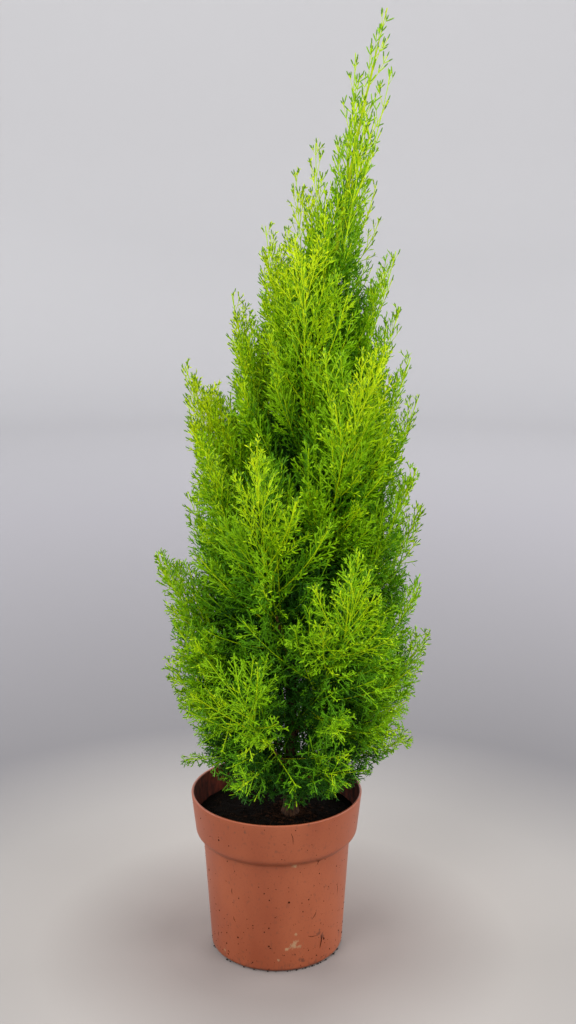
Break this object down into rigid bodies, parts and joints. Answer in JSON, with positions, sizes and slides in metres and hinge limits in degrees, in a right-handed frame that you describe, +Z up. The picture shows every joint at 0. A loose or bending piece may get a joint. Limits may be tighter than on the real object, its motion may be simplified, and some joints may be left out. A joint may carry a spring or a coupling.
{
  "type": "potted lemon cypress",
  "caption": "Slim conical lemon-scented cypress with a leaning leader and feathery lime foliage, in a round terracotta-coloured plastic nursery pot.",
  "frame": {"origin": "centre of the pot's flat underside, on the surface that the pot stands on", "axes": "+Z up the plant, +X to the side that the leader leans towards, -Y to the front seen in the picture"},
  "size_m": [0.3316, 0.3162, 1.117],
  "materials": {
    "pot": "satin",
    "soil": "matte",
    "bark": "matte",
    "foliage": "satin"
  },
  "bodies": {
    "root": {"bough_16": "bark", "bough_22": "bark", "bough_23": "bark", "bough_24": "bark", "bough_25": "bark", "bough_26": "bark", "bough_27": "bark", "bough_28": "bark", "bough_29": "bark", "bough_30": "bark", "bough_31": "bark", "bough_32": "bark", "bough_34": "bark", "bough_36": "bark", "foliage_01": "foliage", "foliage_02": "foliage", "foliage_03": "foliage", "foliage_04": "foliage", "foliage_05": "foliage", "foliage_06": "foliage", "foliage_07": "foliage", "foliage_08": "foliage", "foliage_09": "foliage", "foliage_10": "foliage", "foliage_11": "foliage", "foliage_12": "foliage", "foliage_13": "foliage", "foliage_14": "foliage", "foliage_15": "foliage", "foliage_16": "foliage", "foliage_17": "foliage", "foliage_18": "foliage", "foliage_19": "foliage", "foliage_20": "foliage", "foliage_21": "foliage", "foliage_22": "foliage", "foliage_23": "foliage", "foliage_24": "foliage", "foliage_25": "foliage", "foliage_26": "foliage", "foliage_27": "foliage", "foliage_28": "foliage", "foliage_29": "foliage", "foliage_30": "foliage", "foliage_31": "foliage", "foliage_32": "foliage", "foliage_33": "foliage", "foliage_34": "foliage", "foliage_35": "foliage", "foliage_36": "foliage", "foliage_37": "foliage", "foliage_38": "foliage", "foliage_39": "foliage", "foliage_40": "foliage", "foliage_41": "foliage", "foliage_42": "foliage", "foliage_43": "foliage", "pot": "pot", "soil": "soil", "trunk": "bark"}
  },
  "joints": []
}
